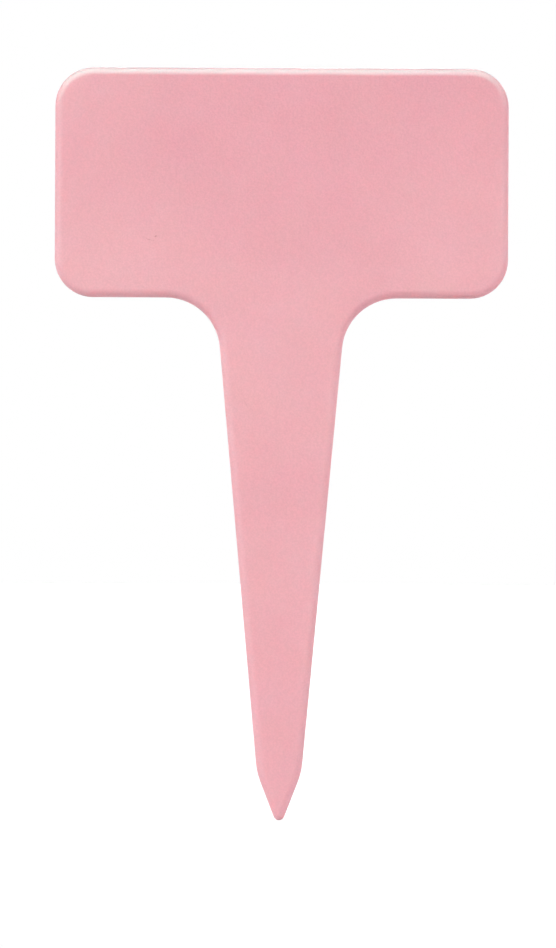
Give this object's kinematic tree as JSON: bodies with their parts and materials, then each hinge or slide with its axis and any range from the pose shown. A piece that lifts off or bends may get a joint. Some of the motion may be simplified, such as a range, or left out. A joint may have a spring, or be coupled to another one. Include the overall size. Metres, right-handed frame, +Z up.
{
  "type": "plant label stake",
  "caption": "T-shaped plant label: a rounded rectangular writing head on a tapered stem with a blunt point, pushed into soil or compost to mark a plant.",
  "frame": {"origin": "tip of the point, midway through the thickness", "axes": "+Z up the stake from the point to the head, +X to the right across the head, -Y out of the rounded writing side"},
  "size_m": [0.06, 0.0016, 0.0995],
  "materials": {
    "moulded_polypropylene": "pale rose pink polypropylene, moulded against a fine spark-eroded surface that takes pencil and marker"
  },
  "bodies": {
    "root": {"label_stake": "moulded_polypropylene"}
  },
  "joints": []
}
